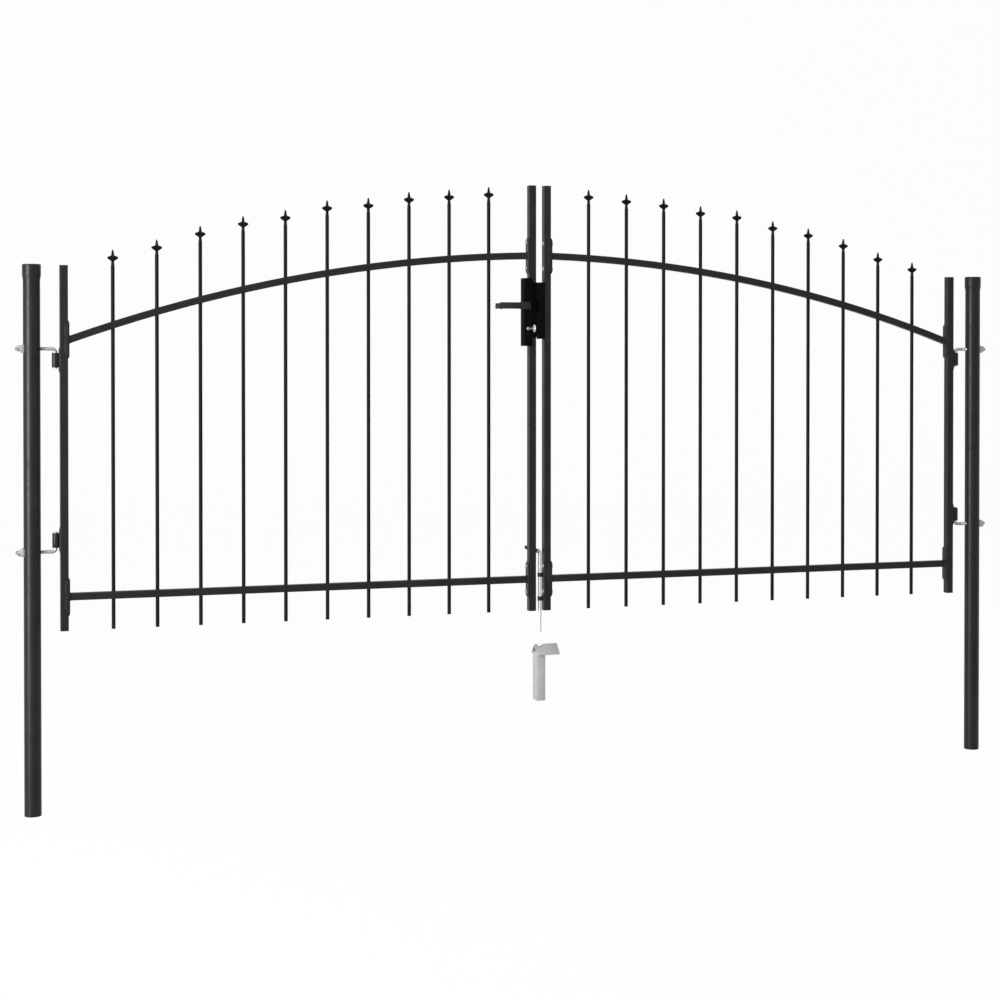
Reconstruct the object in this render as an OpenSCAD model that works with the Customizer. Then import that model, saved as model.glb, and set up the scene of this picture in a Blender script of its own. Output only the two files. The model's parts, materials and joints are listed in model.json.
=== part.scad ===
// Double-leaf steel garden gate: two arched leaves of round pickets with spear tips,
// hung on two round posts by pins in welded barrels. Millimetres.
// +X runs along the gate from the left post to the right one, +Y away from the street
// side, +Z up. The origin lies on the foot of the left post, on its axis.

/* [Posts] */
// Distance between the two post axes
post_spacing = 2904; // [2400:1:3400]
// Length of a post, cap included
post_length = 1500; // [1400:5:2200]
// Outer diameter of a post
post_dia = 46; // [42:0.5:60]
// Wall of the post tube
post_wall = 2; // [1.5:0.1:3]
// Thickness of the welded foot disc
foot_thick = 4; // [2:0.5:8]
// Length of the upper post section that shows, cap included
upper_section = 545; // [450:5:650]
// Length of the reduced end that plugs into the lower section
spigot_length = 70; // [40:1:120]
// Height of the cap
cap_height = 42; // [25:1:60]
// Wall of the cap
cap_wall = 2; // [1.5:0.1:3]

/* [Leaf frame] */
// Clear gap between the two lock stiles
leaf_gap = 24; // [24:0.5:40]
// Clear gap between a post and the stile beside it
hinge_gap = 51; // [45:0.5:80]
// How far the stile beside the post ends below the top of the post
top_drop = 2; // [0:1:60]
// Side of the square stile tube
stile_size = 22; // [20:0.5:26]
// Wall of the stile tube
stile_wall = 1.8; // [1.2:0.1:2.5]
// Length of the stile beside the post
hinge_stile_length = 998; // [850:1:1200]
// Length of the stile at the middle of the gate
lock_stile_length = 1250; // [1100:1:1500]
// Side of the square rail tube
rail_size = 20; // [18:0.5:22]
// Wall of the rail tube
rail_wall = 1.6; // [1.2:0.1:2.5]
// Outer corner radius of the square tubes
tube_corner = 2; // [1:0.25:3]
// Height of the bottom rail's axis above the leaf's lower end
bottom_rail_rise = 93; // [85:1:160]
// Distance from the top of the stile at the middle down to the arch's highest point
arch_drop = 205; // [150:1:260]
// Distance from the top of the stile beside the post down to the arch's end
arch_end_drop = 203; // [120:1:260]
// How far the arch's highest point lies beyond the middle of the gate
arch_overrun = 69; // [0:1:100]

/* [Pickets] */
// Pickets in each leaf
picket_count = 10; // [6:1:14]
// Distance from a stile's axis to the nearest picket's axis
picket_margin = 132; // [90:0.5:150]
// Diameter of a picket
picket_dia = 10.5; // [9:0.25:12]
// Height of the spear points above the arched rail's axis
spear_reach = 200; // [160:1:240]
// Step to which the pickets are cut to length
picket_step = 10; // [5:5:20]
// Height of a spear tip
spear_height = 44; // [40:1:60]
// Span across the arms of a spear tip
spear_span = 29; // [22:0.5:34]
// Width of an arm of a spear tip
spear_arm = 7; // [5:0.25:9]

/* [Rail brackets] */
// Height of the saddle bracket at each rail end
bracket_height = 106; // [90:1:120]
// Thickness of the bracket's face
bracket_thick = 3.5; // [2:0.25:5]
// Thickness of the bracket's flanges
flange_thick = 2; // [1.5:0.25:3]
// How far the flanges reach over the stile
flange_reach = 9; // [5:0.5:14]
// Distance of each bracket bolt from the rail's axis
bolt_offset = 37.5; // [28:0.5:40]
// Diameter of the bracket bolts
bolt_dia = 6; // [5:0.5:8]
// Thickness of a bolt's round head
bolt_head = 1; // [0.8:0.1:1.5]

/* [Hinges] */
// Distance from the top of the stile beside the post down to the upper hinge bolt
upper_hinge_drop = 228; // [150:1:300]
// Height of the lower hinge bolt above the leaf's lower end
lower_hinge_rise = 217; // [120:1:300]
// Diameter of the hinge bolts
hinge_pin_dia = 10; // [8:0.5:12]
// Radius of the bend on a hinge bolt's axis
hinge_bend = 10; // [8:0.5:14]
// Outer diameter of a barrel
barrel_dia = 19; // [16:0.5:22]
// Length of a barrel
barrel_length = 40; // [30:1:50]
// Height of a barrel's base plate
hinge_plate_height = 74; // [60:1:90]
// Thickness of a barrel's base plate
hinge_plate_thick = 2.5; // [2:0.25:4]
// Running clearance of a pin in its bore, on the radius
pin_clear = 0.05; // [0.02:0.01:0.1]

/* [Lock] */
// Height of the lock case
lock_height = 199; // [190:1:220]
// Distance from the top of the stile at the middle down to the top of the lock case
lock_drop = 272; // [265:1:400]
// How far the case reaches beside the stile, towards the pickets
lock_side = 18.4; // [17:0.2:26]
// How far the case stands in front of the stile
lock_front = 11; // [8:0.5:16]
// Wall of the case behind the stile and towards the gap
lock_wall = 2.5; // [2:0.25:3]
// Distance of the lever's axis below the top of the case
lever_drop = 81; // [60:1:100]
// Distance from the lever's axis to the key's axis
key_drop = 67; // [60:1:85]
// Length of the lever from its axis to its end
lever_length = 92; // [75:1:95]
// Height of the lever's root, over the case
lever_height = 22; // [18:0.5:26]
// Thickness of the lever
lever_thick = 8; // [6:0.5:10]
// Clear gap between the case and the lever
lever_gap = 3; // [2:0.5:6]
// How far the lever's end turns back towards the gate
lever_return = 28; // [15:1:32]
// Height of the keep on the other leaf
keep_height = 166; // [140:1:180]
// Clear gap between the lock case and the keep
keep_gap = 5.5; // [5:0.25:7]

/* [Drop bolt] */
// Diameter of the drop bolt
drop_dia = 10; // [8:0.5:11]
// Height of the handle's axis above the leaf's lower end, with the bolt raised
drop_handle_rise = 173; // [165:1:200]
// How far the raised bolt hangs below the leaf's lower end
drop_overhang = 65; // [40:1:80]
// Length of the handle from the bolt's axis
drop_handle_length = 125; // [60:1:140]
// Height of a guide eye
guide_height = 12; // [8:0.5:16]
// Height of the upper guide's middle above the leaf's lower end
upper_guide_rise = 105; // [90:1:110]
// Height of the lower guide's middle above the leaf's lower end
lower_guide_rise = 35; // [15:1:36]

/* [Ground stop] */
// Width of the stake
stake_width = 27; // [24:0.5:36]
// Depth of the stake
stake_depth = 36; // [28:0.5:50]
// Wall of the stake
stake_wall = 2; // [1.5:0.1:3]
// Length of the stake
stake_length = 143; // [100:1:250]
// How far the roof's ridge lies below the leaf's lower end
ridge_drop = 99; // [90:1:105]
// Length of the roof along the gate
roof_length = 71; // [60:1:100]
// Length of each sloping side of the roof
roof_side = 40; // [36:1:50]
// Thickness of the roof
roof_thick = 3; // [2:0.25:4]

/* [Hidden] */
$fn = 48;
ARCH_FN = 2400;
FIT = 0.1;
EPS = 0.01;

// Colours
black_coat = [0.05, 0.05, 0.055];
lock_black = [0.02, 0.02, 0.02];
zinc = [0.72, 0.73, 0.74];

// Places along the gate, for the left leaf
gate_mid = post_spacing / 2;
lock_stile_x = gate_mid - leaf_gap / 2 - stile_size / 2;
hinge_stile_x = post_dia / 2 + hinge_gap + stile_size / 2;
first_picket_x = lock_stile_x - picket_margin;
picket_pitch = (first_picket_x - hinge_stile_x - picket_margin) / (picket_count - 1);
barrel_sink = 0.5;
hinge_x = hinge_stile_x - stile_size / 2 - hinge_plate_thick - barrel_dia / 2 + barrel_sink;
rail_start_x = hinge_stile_x + stile_size / 2 + bracket_thick;
rail_end_x = lock_stile_x - stile_size / 2 - bracket_thick;

// Heights, with the leaf hung level with the top of the post
hinge_stile_top_z = post_length - top_drop;
leaf_bottom = hinge_stile_top_z - hinge_stile_length;
lock_stile_top_z = leaf_bottom + lock_stile_length;
bottom_rail_z = leaf_bottom + bottom_rail_rise;
upper_hinge_z = hinge_stile_top_z - upper_hinge_drop;
lower_hinge_z = leaf_bottom + lower_hinge_rise;

// The arch through its highest point and the end of the rail at the hinge side
arch_x = gate_mid + arch_overrun;
arch_top_z = lock_stile_top_z - arch_drop;
arch_sag = arch_top_z - (hinge_stile_top_z - arch_end_drop);
arch_radius = ((arch_x - rail_start_x) ^ 2 + arch_sag ^ 2) / (2 * arch_sag);
function arch_angle(x) = asin((arch_x - x) / arch_radius);
function arch_z(x) = arch_top_z - arch_radius + sqrt(arch_radius ^ 2 - (arch_x - x) ^ 2);
function picket_x(i) = first_picket_x - i * picket_pitch;
function picket_length(i) =
    picket_step * round((arch_z(picket_x(i)) + spear_reach - leaf_bottom) / picket_step);
hinge_rail_heights = [bottom_rail_z, arch_z(rail_start_x)];
lock_rail_heights = [bottom_rail_z, arch_z(rail_end_x)];

// Post pieces
post_joint_z = post_length - upper_section;
post_bore = post_dia - 2 * post_wall;
cap_top_thick = 3;
cap_dia = post_dia + 2 * FIT + 2 * cap_wall;
cap_lip = 14;
tube_top_z = post_length - cap_top_thick;

// Hinge pieces
saddle_thick = 7;
saddle_side = 22;
nut_flats = 17;
nut_thick = 8;
bolt_end = 6;
hinge_pin_gap = 1;
pin_tail = 3;
hinge_plate_width = stile_size - 2;
plate_taper = 10;

// Bracket bolts
bolt_nut_flats = 10;
bolt_nut_thick = 3;
bolt_tail = 1.5;
bolt_head_dia = 13;

// Lock pieces, with the lock's axis midway between the stile and the case's outer side
lock_z = lock_stile_top_z - lock_drop - lock_height;
lock_left_x = lock_stile_x - stile_size / 2 - lock_side;
lock_right_x = lock_stile_x + stile_size / 2 + lock_wall;
lock_axis_x = lock_stile_x - stile_size / 2 - lock_side * 0.44;
lock_front_y = -stile_size / 2 - lock_front;
lock_back_y = stile_size / 2 + lock_wall;
lever_z = lock_z + lock_height - lever_drop;
key_z = lever_z - key_drop;
lever_back_y = lock_front_y - lever_gap;
lever_front_y = lever_back_y - lever_thick;
lever_face_gap = 0.5;
lever_tail = 6.5;
lever_root = 27;
lever_flare = 8;
spindle_dia = 8;
neck_dia = 12;
washer_dia = 18;
washer_thick = 3;
cylinder_dia = 15;
cylinder_tail = 24;
cylinder_tail_width = 9;
cylinder_proud = 4;
plug_dia = 9;
plug_depth = 28;
key_thick = 2.2;
key_blade = 6.5;
key_bow_dia = 22;
key_bow_y = lock_front_y - 61;
key_insert = 20;
keep_z = lock_z + 21;
keep_left_x = lock_right_x + keep_gap;
keep_front = 3;
keep_lap = 2;
case_edge_x = lock_stile_x - stile_size * 0.2;
sleeve_front_y = -stile_size / 2 - keep_front;
sleeve_z = keep_z + 4;
sleeve_height = keep_height - 4;

// Drop bolt and ground stop
right_stile_face = gate_mid + leaf_gap / 2;
guide_wall = 4;
drop_clear = 3.5;
drop_x = right_stile_face - drop_dia / 2 - bolt_head - drop_clear;
drop_bend = 12;
drop_handle_z = leaf_bottom + drop_handle_rise;
drop_tip_z = leaf_bottom - drop_overhang;
ridge_z = leaf_bottom - ridge_drop;
stake_x = drop_x - 2;
roof_start_x = stake_x - stake_width / 2 - 2;
roof_hole_dia = drop_dia + 6;
stake_top_z = ridge_z - stake_depth / 2 - roof_thick * sqrt(2);
stake_bottom = stake_top_z - stake_length;

// The right leaf and post are the left ones seen in a mirror at the middle of the gate
module right_side() {
    translate([post_spacing, 0, 0]) mirror([1, 0, 0]) children();
}

module along_x(length, dia) {
    rotate([0, 90, 0]) cylinder(h = length, d = dia);
}

module along_y(length, dia) {
    rotate([-90, 0, 0]) cylinder(h = length, d = dia);
}

module rounded_square(size, corner) {
    flat = size - 2 * corner;
    square([size, flat], center = true);
    square([flat, size], center = true);
    for (sx = [-1, 1], sy = [-1, 1])
        translate([sx * flat / 2, sy * flat / 2]) circle(corner);
}

// Posts: a lower section with a closed foot, an upper section with a reduced end that plugs
// into it, and a pressed cap
module hinge_bolt_hole(z) {
    translate([-post_dia, 0, z]) along_x(2 * post_dia, hinge_pin_dia + 2 * FIT);
}

module post_lower() {
    color(black_coat) difference() {
        cylinder(h = post_joint_z, d = post_dia);
        translate([0, 0, foot_thick]) cylinder(h = post_joint_z, d = post_bore);
        hinge_bolt_hole(lower_hinge_z);
    }
}

module post_upper() {
    spigot_dia = post_bore - 2 * FIT;
    inner_dia = spigot_dia - 2 * post_wall;
    color(black_coat) difference() {
        union() {
            translate([0, 0, post_joint_z]) cylinder(h = tube_top_z - post_joint_z, d = post_dia);
            translate([0, 0, post_joint_z - spigot_length])
                cylinder(h = spigot_length + post_wall, d = spigot_dia);
        }
        translate([0, 0, post_joint_z - spigot_length - 1])
            cylinder(h = spigot_length + 2 * post_wall + 1, d = inner_dia);
        translate([0, 0, post_joint_z + post_wall]) cylinder(h = post_length, d = post_bore);
        hinge_bolt_hole(upper_hinge_z);
    }
}

module post_cap() {
    outer = cap_dia / 2;
    inner = post_dia / 2 + FIT;
    edge = 1.5;
    color(black_coat) translate([0, 0, post_length - cap_height]) rotate_extrude()
        polygon([
            [inner, 0], [inner + 0.5, 0], [outer, cap_lip], [outer, cap_height - edge],
            [outer - edge, cap_height], [0, cap_height], [0, cap_height - cap_top_thick],
            [inner, cap_height - cap_top_thick]
        ]);
}

// Hinges: a bent bolt through the post carries a pin that turns in a barrel on the stile
module hinge_bolt(z) {
    shank_start = -post_dia / 2 - saddle_thick - nut_thick - bolt_end;
    shank_length = hinge_x - hinge_bend - shank_start;
    pin_length = hinge_pin_gap + barrel_length + pin_tail;
    translate([0, 0, z]) {
        translate([shank_start, 0, 0]) along_x(shank_length, hinge_pin_dia);
        translate([hinge_x - hinge_bend, 0, hinge_bend]) rotate([90, 0, 0]) rotate([0, 0, -90])
            rotate_extrude(angle = 90) translate([hinge_bend, 0]) circle(d = hinge_pin_dia);
        translate([hinge_x, 0, hinge_bend]) cylinder(h = pin_length, d = hinge_pin_dia);
    }
}

module hinge_bolts() {
    color(zinc) {
        translate([0, 0, 2 * upper_hinge_z]) mirror([0, 0, 1]) hinge_bolt(upper_hinge_z);
        hinge_bolt(lower_hinge_z);
    }
}

module post_hinge_saddles() {
    color(zinc) for (z = [upper_hinge_z, lower_hinge_z]) difference() {
        translate([-post_dia / 2 - saddle_thick, -saddle_side / 2, z - saddle_side / 2])
            cube([saddle_thick + saddle_side / 4, saddle_side, saddle_side]);
        cylinder(h = post_length, d = post_dia + FIT);
        hinge_bolt_hole(z);
    }
}

module post_hinge_nuts() {
    color(zinc) for (z = [upper_hinge_z, lower_hinge_z]) difference() {
        translate([-post_dia / 2 - saddle_thick - nut_thick, 0, z]) rotate([0, 90, 0])
            cylinder(h = nut_thick, d = nut_flats / cos(30), $fn = 6);
        hinge_bolt_hole(z);
    }
}

module plate_outline(height, thick, taper) {
    polygon([
        [0, -height / 2], [thick, taper - height / 2], [thick, height / 2 - taper], [0, height / 2]
    ]);
}

module hinge_barrel(z_low) {
    plate_x = hinge_stile_x - stile_size / 2;
    difference() {
        union() {
            translate([hinge_x, 0, z_low]) cylinder(h = barrel_length, d = barrel_dia);
            translate([plate_x, hinge_plate_width / 2, z_low + barrel_length / 2]) mirror([1, 0, 0])
                rotate([90, 0, 0]) linear_extrude(hinge_plate_width)
                    plate_outline(hinge_plate_height, hinge_plate_thick, plate_taper);
        }
        translate([hinge_x, 0, z_low - 1])
            cylinder(h = barrel_length + 2, d = hinge_pin_dia + 2 * pin_clear);
    }
}

module hinge_barrels() {
    color(black_coat) {
        hinge_barrel(upper_hinge_z - hinge_bend - hinge_pin_gap - barrel_length);
        hinge_barrel(lower_hinge_z + hinge_bend + hinge_pin_gap);
    }
}

// Leaf frame: closed square stiles and square rails
module stile(x, length, bolted_heights) {
    bore = stile_size - 2 * stile_wall;
    color(black_coat) difference() {
        translate([x, 0, leaf_bottom]) linear_extrude(length) rounded_square(stile_size, tube_corner);
        translate([x - bore / 2, -bore / 2, leaf_bottom + stile_wall])
            cube([bore, bore, length - 2 * stile_wall]);
        for (z = bolted_heights, s = [-1, 1])
            translate([x - stile_size, 0, z + s * bolt_offset]) along_x(2 * stile_size, bolt_dia + 2 * FIT);
    }
}

module hinge_stile() {
    stile(hinge_stile_x, hinge_stile_length, []);
}

module lock_stile() {
    stile(lock_stile_x, lock_stile_length, lock_rail_heights);
}

module picket_holes() {
    for (i = [0 : picket_count - 1])
        translate([picket_x(i), 0, leaf_bottom]) cylinder(h = lock_stile_length, d = picket_dia + FIT);
}

module arch_bar(size, corner) {
    spare = 0.5;
    sweep_start = 90 + arch_angle(rail_end_x) - spare;
    sweep = arch_angle(rail_start_x) - arch_angle(rail_end_x) + 2 * spare;
    translate([arch_x, 0, arch_top_z - arch_radius]) rotate([90, 0, 0])
        rotate([0, 0, sweep_start]) rotate_extrude(angle = sweep, $fn = ARCH_FN)
            translate([arch_radius, 0]) rounded_square(size, corner);
}

module top_rail() {
    length = rail_end_x - rail_start_x;
    color(black_coat) difference() {
        intersection() {
            arch_bar(rail_size, tube_corner);
            translate([rail_start_x, -rail_size, leaf_bottom])
                cube([length, 2 * rail_size, lock_stile_length]);
        }
        arch_bar(rail_size - 2 * rail_wall, tube_corner / 2);
        picket_holes();
    }
}

module bottom_rail() {
    length = rail_end_x - rail_start_x;
    color(black_coat) difference() {
        translate([rail_start_x, 0, bottom_rail_z]) rotate([0, 90, 0]) difference() {
            linear_extrude(length) rounded_square(rail_size, tube_corner);
            translate([0, 0, -1]) linear_extrude(length + 2)
                square(rail_size - 2 * rail_wall, center = true);
        }
        picket_holes();
    }
}

// Saddle brackets: a tapered face that the rail is welded to, with flanges over the stile; the
// ones at the middle of the gate are bolted on, the others welded
module rail_bracket(bolted) {
    width = stile_size + 2 * flange_thick;
    flange_height = bracket_height - 2 * plate_taper;
    flange_cut = 4;
    difference() {
        translate([0, width / 2, 0]) rotate([90, 0, 0]) linear_extrude(width) union() {
            plate_outline(bracket_height, bracket_thick, plate_taper);
            polygon([
                [0, -flange_height / 2], [flange_cut - flange_reach, -flange_height / 2],
                [-flange_reach, flange_cut - flange_height / 2], [-flange_reach, flange_height / 2 - flange_cut],
                [flange_cut - flange_reach, flange_height / 2], [0, flange_height / 2]
            ]);
        }
        translate([-2 * flange_reach, -stile_size / 2, -bracket_height])
            cube([2 * flange_reach, stile_size, 2 * bracket_height]);
        if (bolted) for (s = [-1, 1])
            translate([-bracket_thick, 0, s * bolt_offset]) along_x(3 * bracket_thick, bolt_dia + 2 * FIT);
    }
}

module rail_brackets() {
    color(black_coat) {
        for (z = hinge_rail_heights)
            translate([hinge_stile_x + stile_size / 2, 0, z]) rail_bracket(false);
        for (z = lock_rail_heights)
            translate([lock_stile_x - stile_size / 2, 0, z]) mirror([1, 0, 0]) rail_bracket(true);
    }
}

// A bracket bolt: nut on the bracket's face, shank through the stile, flat head at the far side
module bracket_bolt() {
    grip = bracket_thick + stile_size;
    translate([bracket_thick, 0, 0]) rotate([0, 90, 0])
        cylinder(h = bolt_nut_thick, d = bolt_nut_flats / cos(30), $fn = 6);
    translate([-stile_size, 0, 0]) along_x(grip + bolt_nut_thick + bolt_tail, bolt_dia);
    translate([-stile_size, 0, 0]) rotate([0, -90, 0])
        cylinder(h = bolt_head, d1 = bolt_head_dia, d2 = bolt_head_dia * 0.9);
}

module bracket_bolts() {
    color(zinc) for (z = lock_rail_heights, s = [-1, 1])
        translate([lock_stile_x - stile_size / 2, 0, z + s * bolt_offset]) mirror([1, 0, 0])
            bracket_bolt();
}

// Infill: round pickets through both rails, each with a four-armed spear tip
module pickets() {
    color(black_coat) for (i = [0 : picket_count - 1])
        translate([picket_x(i), 0, leaf_bottom])
            cylinder(h = picket_length(i) - spear_height, d = picket_dia);
}

module spear_tip() {
    point_base = 17;
    arm_top = 20;
    arm_low = 26.5;
    arm_root = 33;
    neck = 36;
    flare = 42;
    stem = 4.2;
    tip = 1;
    span = spear_span / 2;
    foot = picket_dia / 2;
    rotate_extrude() polygon([
        [0, 0], [foot, 0], [foot, spear_height - flare], [stem, spear_height - neck],
        [stem, spear_height - point_base], [tip, spear_height - tip], [0, spear_height]
    ]);
    intersection() {
        rotate_extrude() polygon([
            [0, spear_height - arm_root - 2], [stem, spear_height - arm_root], [span, spear_height - arm_low],
            [span, spear_height - arm_top], [stem, spear_height - point_base], [0, spear_height - point_base]
        ]);
        union() {
            translate([-span, -spear_arm / 2, 0]) cube([2 * span, spear_arm, spear_height]);
            translate([-spear_arm / 2, -span, 0]) cube([spear_arm, 2 * span, spear_height]);
        }
    }
}

module spear_tips() {
    color(black_coat) for (i = [0 : picket_count - 1])
        translate([picket_x(i), 0, leaf_bottom + picket_length(i) - spear_height]) spear_tip();
}

// Lock: a case beside the left leaf's lock stile with a shorter sleeve round it, a key cylinder
// and a sprung lever
module cylinder_profile(grow) {
    circle(d = cylinder_dia + 2 * grow);
    translate([-cylinder_tail_width / 2 - grow, -cylinder_tail - grow])
        square([cylinder_tail_width + 2 * grow, cylinder_tail + grow]);
}

module cylinder_body(grow, start_y, end_y) {
    translate([lock_axis_x, end_y, key_z]) rotate([90, 0, 0])
        linear_extrude(end_y - start_y) cylinder_profile(grow);
}

module lock_case() {
    width = lock_right_x - lock_left_x;
    depth = lock_back_y - lock_front_y;
    hole = stile_size + 2 * FIT;
    color(lock_black) difference() {
        union() {
            translate([lock_left_x, lock_front_y, lock_z])
                cube([case_edge_x - lock_left_x, depth, lock_height]);
            translate([lock_left_x, sleeve_front_y, sleeve_z])
                cube([width, lock_back_y - sleeve_front_y, sleeve_height]);
        }
        translate([lock_stile_x - hole / 2, -hole / 2, lock_z - 1]) cube([hole, hole, lock_height + 2]);
        translate([lock_axis_x, lock_front_y - 1, lever_z])
            along_y(depth + 2, spindle_dia + 2 * pin_clear);
        cylinder_body(FIT, lock_front_y - 1, lock_back_y + 1);
    }
}

module lock_cylinder() {
    color(lock_black) difference() {
        cylinder_body(0, lock_front_y - cylinder_proud, lock_back_y + cylinder_proud);
        translate([lock_axis_x, lock_front_y - cylinder_proud - 1, key_z])
            along_y(plug_depth + 1, plug_dia + 2 * pin_clear);
    }
}

module lock_plug() {
    start_y = lock_front_y - cylinder_proud;
    color(zinc) difference() {
        translate([lock_axis_x, start_y, key_z]) along_y(plug_depth - FIT, plug_dia);
        translate([lock_axis_x - key_thick / 2 - FIT, start_y - 1, key_z - key_blade / 2 - FIT])
            cube([key_thick + 2 * FIT, key_insert + 1 + FIT, key_blade + 2 * FIT]);
    }
}

module key() {
    blade_end = lock_front_y - cylinder_proud + key_insert;
    color(zinc) translate([lock_axis_x - key_thick / 2, 0, key_z]) difference() {
        union() {
            translate([0, key_bow_y, 0]) along_x(key_thick, key_bow_dia);
            translate([0, key_bow_y, -key_blade / 2]) cube([key_thick, blade_end - key_bow_y, key_blade]);
        }
        translate([-1, key_bow_y - key_bow_dia / 4, 0]) along_x(key_thick + 2, key_bow_dia / 4);
    }
}

module lever_handle() {
    end_x = lock_axis_x - lever_length;
    root_x = lock_axis_x + lever_tail - lever_root;
    root = lever_height / 2;
    grip = lever_height * 0.365;
    return_height = lever_height * 0.6;
    corner = 6;
    color(lock_black) {
        translate([lock_axis_x, lever_back_y - lever_thick / 2, lever_z])
            along_y(lever_gap + lever_thick / 2 - lever_face_gap, neck_dia);
        translate([0, lever_back_y, lever_z]) rotate([90, 0, 0]) linear_extrude(lever_thick) polygon([
            [end_x + corner, -grip], [root_x - lever_flare, -grip], [root_x, -root],
            [root_x + lever_root, -root], [root_x + lever_root, root], [root_x, root],
            [root_x - lever_flare, grip], [end_x + corner, grip]
        ]);
        translate([end_x, lever_front_y, lever_z - return_height / 2]) linear_extrude(return_height) union() {
            translate([corner, corner]) circle(corner);
            translate([corner, 0]) square([lever_thick, lever_thick]);
            translate([0, corner]) square([lever_thick, lever_thick + lever_return - corner]);
        }
    }
}

module lever_spindle() {
    neck_end = lock_front_y - lever_face_gap;
    washer_start = lock_back_y + lever_face_gap;
    color(zinc) {
        translate([lock_axis_x, neck_end, lever_z])
            along_y(washer_start - neck_end + washer_thick, spindle_dia);
        translate([lock_axis_x, washer_start, lever_z]) along_y(washer_thick, washer_dia);
    }
}

// Keep: a box on the right leaf's lock stile, with a lip over the stile's front
module lock_keep() {
    front_y = -stile_size / 2 - keep_front;
    slot_depth = 3;
    slot_width = 14;
    slot_height = 34;
    color(lock_black) difference() {
        union() {
            translate([keep_left_x, front_y, keep_z])
                cube([right_stile_face - keep_left_x, stile_size + keep_front, keep_height]);
            translate([right_stile_face - EPS, front_y, keep_z]) cube([keep_lap, keep_front, keep_height]);
        }
        translate([keep_left_x - EPS, -slot_width / 2, lever_z - slot_height / 2])
            cube([slot_depth, slot_width, slot_height]);
    }
}

// Drop bolt: a bent bar in two guide eyes on the right leaf's lock stile
module drop_guide(z) {
    guide_dia = drop_dia + 2 * guide_wall;
    difference() {
        union() {
            translate([drop_x, 0, z - guide_height / 2]) cylinder(h = guide_height, d = guide_dia);
            translate([drop_x, -drop_dia / 2, z - guide_height / 2])
                cube([right_stile_face - drop_x, drop_dia, guide_height]);
        }
        translate([drop_x, 0, z - guide_height]) cylinder(h = 2 * guide_height, d = drop_dia + 2 * FIT);
    }
}

module drop_bolt_guides() {
    color(black_coat) {
        drop_guide(leaf_bottom + upper_guide_rise);
        drop_guide(leaf_bottom + lower_guide_rise);
    }
}

module drop_bolt() {
    chamfer = 2;
    color(zinc) {
        translate([drop_x, 0, drop_tip_z])
            cylinder(h = chamfer, d1 = drop_dia - 2 * chamfer, d2 = drop_dia);
        translate([drop_x, 0, drop_tip_z + chamfer])
            cylinder(h = drop_handle_z - drop_bend - drop_tip_z - chamfer, d = drop_dia);
        translate([drop_x, drop_bend, drop_handle_z - drop_bend]) rotate([90, 0, -90])
            rotate_extrude(angle = 90) translate([drop_bend, 0]) circle(d = drop_dia);
        translate([drop_x, drop_bend, drop_handle_z]) along_y(drop_handle_length - drop_bend, drop_dia);
        translate([drop_x, drop_handle_length, drop_handle_z]) sphere(d = drop_dia);
    }
}

// Ground stop: a hollow stake under a folded roof with a hole for the drop bolt
module ground_stop_stake() {
    height = stake_top_z - stake_bottom;
    color(zinc) translate([stake_x - stake_width / 2, -stake_depth / 2, stake_bottom]) difference() {
        cube([stake_width, stake_depth, height]);
        translate([stake_wall, stake_wall, -1])
            cube([stake_width - 2 * stake_wall, stake_depth - 2 * stake_wall, height + 2]);
    }
}

module ground_stop_roof() {
    reach = roof_side * sqrt(0.5);
    drop = roof_thick * sqrt(2);
    foot = roof_thick * sqrt(0.5);
    color(zinc) difference() {
        translate([roof_start_x, 0, ridge_z]) rotate([90, 0, 90]) linear_extrude(roof_length) polygon([
            [0, 0], [reach, -reach], [reach - foot, -reach - foot], [0, -drop],
            [foot - reach, -reach - foot], [-reach, -reach]
        ]);
        translate([drop_x, 0, stake_bottom]) cylinder(h = ridge_z, d = roof_hole_dia);
    }
}

post_lower();  // left_post_lower
post_upper();  // left_post_upper
post_cap();  // left_post_cap
right_side() post_lower();  // right_post_lower
right_side() post_upper();  // right_post_upper
right_side() post_cap();  // right_post_cap
hinge_bolts();  // left_hinge_bolts
right_side() hinge_bolts();  // right_hinge_bolts
union() { post_hinge_saddles(); right_side() post_hinge_saddles(); }  // hinge_saddles
union() { post_hinge_nuts(); right_side() post_hinge_nuts(); }  // hinge_nuts
hinge_stile();  // left_hinge_stile
lock_stile();  // left_lock_stile
hinge_barrels();  // left_hinge_barrels
top_rail();  // left_top_rail
bottom_rail();  // left_bottom_rail
rail_brackets();  // left_rail_brackets
bracket_bolts();  // left_bracket_bolts
pickets();  // left_pickets
spear_tips();  // left_spear_tips
right_side() hinge_stile();  // right_hinge_stile
right_side() lock_stile();  // right_lock_stile
right_side() hinge_barrels();  // right_hinge_barrels
right_side() top_rail();  // right_top_rail
right_side() bottom_rail();  // right_bottom_rail
right_side() rail_brackets();  // right_rail_brackets
right_side() bracket_bolts();  // right_bracket_bolts
right_side() pickets();  // right_pickets
right_side() spear_tips();  // right_spear_tips
lock_case();
lock_cylinder();
lock_plug();
key();
lever_handle();
lever_spindle();
lock_keep();
drop_bolt_guides();
drop_bolt();
ground_stop_stake();
ground_stop_roof();
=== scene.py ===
import json
import math

import bmesh
import bpy
from mathutils import Matrix, Vector

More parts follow.
